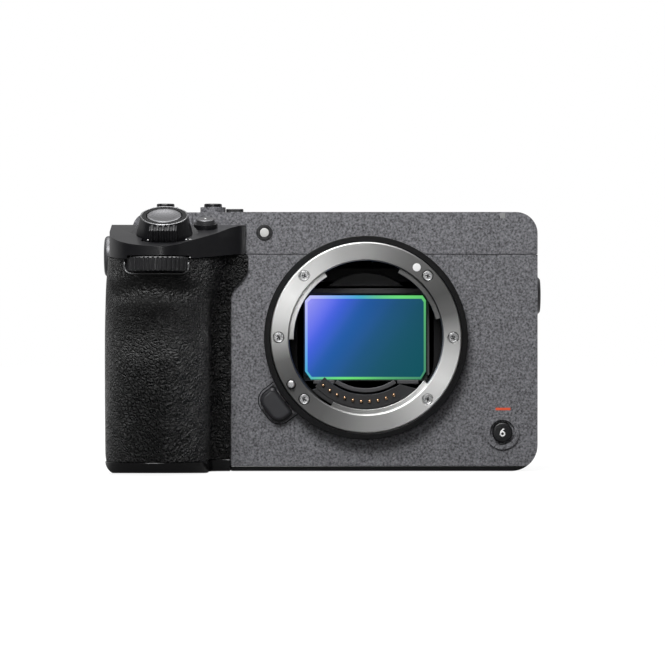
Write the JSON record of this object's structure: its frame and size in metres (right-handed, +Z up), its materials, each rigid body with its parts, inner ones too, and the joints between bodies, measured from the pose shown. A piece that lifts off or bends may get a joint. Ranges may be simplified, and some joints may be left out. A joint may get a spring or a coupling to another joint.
{
  "type": "cinema camera",
  "caption": "Compact cinema camera body with a side handgrip, an open bayonet lens mount, a swing-out monitor, dials, buttons and threaded accessory points.",
  "frame": {"origin": "mouth of the tripod thread in the base, below the optical axis", "axes": "+X to the right seen from the front, +Y from the lens mount to the monitor, +Z up"},
  "size_m": [0.1342, 0.0845, 0.0807],
  "materials": {
    "speckled_paint": "painted magnesium",
    "black_paint": "black painted metal",
    "satin_black": "satin black plastic",
    "gloss_black": "gloss black plastic",
    "grip_rubber": "pebbled black rubber",
    "mount_steel": "turned steel",
    "screw_steel": "polished steel",
    "inner_aluminium": "cast aluminium",
    "inner_black": "matt black plastic",
    "board_green": "circuit board",
    "contact_gold": "gold plated contact",
    "glass": "coated glass",
    "lamp_white": "translucent plastic",
    "battery_grey": "dark grey plastic"
  },
  "bodies": {
    "camera": {"front_cover": "speckled_paint", "top_cover": "speckled_paint", "rear_cover": "speckled_paint", "bottom_plate": "black_paint", "grip_shell": "inner_black", "grip_skin": "grip_rubber", "grip_top_cover": "satin_black", "grip_base": "gloss_black", "chassis": "inner_aluminium", "tripod_socket": "screw_steel", "thread_inserts": "screw_steel", "accessory_shoe": "mount_steel", "mount_collar": "black_paint", "mount_ring": "mount_steel", "mount_screws": "screw_steel", "mount_springs": "mount_steel", "contact_block": "inner_black", "contact_pins": "contact_gold", "light_box": "inner_black", "shutter_frame": "inner_black", "main_board": "board_green", "heat_sink": "inner_aluminium", "battery": "battery_grey", "battery_door_pin": "screw_steel", "card_reader": "inner_black", "monitor_bracket": "black_paint", "port_block": "inner_black", "af_lamp": "lamp_white", "tally_lamp": "lamp_white"},
    "lever": {"zoom_lever": "satin_black"},
    "shutter": {"shutter_button": "satin_black"},
    "record": {"record_button": "satin_black"},
    "top_left": {"top_button_left": "satin_black"},
    "top_right": {"top_button_right": "satin_black"},
    "power": {"power_switch": "satin_black"},
    "front_dial_body": {"front_dial": "satin_black"},
    "front_press": {"front_button": "satin_black"},
    "rear_dial_body": {"rear_dial": "satin_black"},
    "wheel": {"control_wheel": "satin_black"},
    "wheel_press": {"wheel_button": "satin_black"},
    "gimbal": {"joystick_gimbal": "inner_black"},
    "stick": {"joystick": "satin_black"},
    "menu": {"menu_button": "satin_black"},
    "release": {"lens_release_button": "satin_black"},
    "pin": {"lock_pin": "screw_steel"},
    "door": {"battery_door": "satin_black"},
    "latch": {"battery_latch": "satin_black"},
    "card": {"card_door": "satin_black"},
    "monitor": {"monitor_arm": "black_paint", "monitor_housing": "satin_black", "monitor_glass": "glass"},
    "upper_flap": {"port_cover_upper": "satin_black"},
    "lower_flap": {"port_cover_lower": "satin_black"},
    "blade_upper": {"shutter_blade_upper": "inner_black"},
    "blade_lower": {"shutter_blade_lower": "inner_black"},
    "stage_x": {"stabiliser_frame": "inner_aluminium"},
    "stage_z": {"sensor_carriage": "inner_aluminium", "image_sensor": "inner_black", "sensor_glass": "glass"},
    "fan": {"fan_rotor": "inner_black"}
  },
  "joints": [
    {"name": "zoom_turn", "type": "hinge", "parent": "camera", "child": "lever", "pos_m": [-0.0599, -0.0308, 0.07106], "axis": [0, -0.4226, 0.9063], "range_deg": [-12, 12], "stiffness_Nm_per_rad": 0.02},
    {"name": "shutter_press", "type": "slide", "parent": "camera", "child": "shutter", "axis": [0, 0.4226, -0.9063], "range_m": [0, 0.001], "stiffness_N_per_m": 800},
    {"name": "record_press", "type": "slide", "parent": "camera", "child": "record", "axis": [0, 0.2588, -0.9659], "range_m": [0, 0.0007], "stiffness_N_per_m": 600},
    {"name": "top_left_press", "type": "slide", "parent": "camera", "child": "top_left", "axis": [0, 0, -1], "range_m": [0, 0.0007], "stiffness_N_per_m": 600},
    {"name": "top_right_press", "type": "slide", "parent": "camera", "child": "top_right", "axis": [0, 0, -1], "range_m": [0, 0.0007], "stiffness_N_per_m": 600},
    {"name": "power_slide", "type": "slide", "parent": "camera", "child": "power", "axis": [0, 1, 0], "range_m": [0, 0.003]},
    {"name": "front_dial_turn", "type": "hinge", "parent": "camera", "child": "front_dial_body", "pos_m": [-0.06175, -0.0374, 0.0617], "axis": [0, 0, 1], "continuous": true},
    {"name": "front_button_press", "type": "slide", "parent": "camera", "child": "front_press", "axis": [0, 1, 0], "range_m": [0, 0.0007], "stiffness_N_per_m": 600},
    {"name": "rear_dial_turn", "type": "hinge", "parent": "camera", "child": "rear_dial_body", "pos_m": [-0.062, 0.0146, 0.0691], "axis": [0, 0, 1], "continuous": true},
    {"name": "wheel_turn", "type": "hinge", "parent": "camera", "child": "wheel", "pos_m": [-0.052, 0.022, 0.023], "axis": [0, -1, 0], "continuous": true},
    {"name": "wheel_button_press", "type": "slide", "parent": "camera", "child": "wheel_press", "axis": [0, -1, 0], "range_m": [0, 0.0007], "stiffness_N_per_m": 600},
    {"name": "stick_tilt_vertical", "type": "hinge", "parent": "camera", "child": "gimbal", "pos_m": [-0.047, 0.0176, 0.049], "axis": [1, 0, 0], "range_deg": [-10, 10], "stiffness_Nm_per_rad": 0.01},
    {"name": "stick_tilt_sideways", "type": "hinge", "parent": "gimbal", "child": "stick", "pos_m": [-0.047, 0.0176, 0.049], "axis": [0, 0, 1], "range_deg": [-10, 10], "stiffness_Nm_per_rad": 0.01},
    {"name": "menu_press", "type": "slide", "parent": "camera", "child": "menu", "axis": [0, -1, 0], "range_m": [0, 0.0006], "stiffness_N_per_m": 600},
    {"name": "lens_release_press", "type": "slide", "parent": "camera", "child": "release", "axis": [0, 1, 0], "range_m": [0, 0.0015], "stiffness_N_per_m": 700},
    {"name": "lock_pin_slide", "type": "slide", "parent": "camera", "child": "pin", "axis": [0, 1, 0], "range_m": [0, 0.0016]},
    {"name": "battery_door_swing", "type": "hinge", "parent": "camera", "child": "door", "pos_m": [-0.06185, 0.0082, 0.0016], "axis": [1, 0, 0], "range_deg": [0, 95]},
    {"name": "battery_latch_slide", "type": "slide", "parent": "door", "child": "latch", "axis": [0, 1, 0], "range_m": [0, 0.0016], "stiffness_N_per_m": 400},
    {"name": "card_door_swing", "type": "hinge", "parent": "camera", "child": "card", "pos_m": [-0.0754, 0.0016, 0.037], "axis": [0, 0, 1], "range_deg": [0, 90]},
    {"name": "monitor_swing", "type": "hinge", "parent": "camera", "child": "monitor", "pos_m": [0.0486, 0.0266, 0.034], "axis": [0, 0, -1], "range_deg": [0, 176]},
    {"name": "port_upper_swing", "type": "hinge", "parent": "camera", "child": "upper_flap", "pos_m": [0.0508, -0.004, 0.0545], "axis": [0, 0, 1], "range_deg": [0, 90]},
    {"name": "port_lower_swing", "type": "hinge", "parent": "camera", "child": "lower_flap", "pos_m": [0.0508, -0.004, 0.0355], "axis": [0, 0, 1], "range_deg": [0, 90]},
    {"name": "shutter_upper_slide", "type": "slide", "parent": "camera", "child": "blade_upper", "axis": [0, 0, 1], "range_m": [0, 0.0267]},
    {"name": "shutter_lower_slide", "type": "slide", "parent": "camera", "child": "blade_lower", "axis": [0, 0, 1], "range_m": [0, 0.01335]},
    {"name": "sensor_shift_x", "type": "slide", "parent": "camera", "child": "stage_x", "axis": [1, 0, 0], "range_m": [-0.0008, 0.0008], "stiffness_N_per_m": 2000},
    {"name": "sensor_shift_z", "type": "slide", "parent": "stage_x", "child": "stage_z", "axis": [0, 0, 1], "range_m": [-0.0008, 0.0008], "stiffness_N_per_m": 2000},
    {"name": "fan_spin", "type": "hinge", "parent": "camera", "child": "fan", "pos_m": [0.0375, -0.0071, 0.0158], "axis": [0, 1, 0], "continuous": true}
  ],
  "couplings": [
    {"joint": "lock_pin_slide", "follows": "lens_release_press", "ratio": 1.0667},
    {"joint": "shutter_lower_slide", "follows": "shutter_upper_slide", "ratio": 0.5}
  ]
}
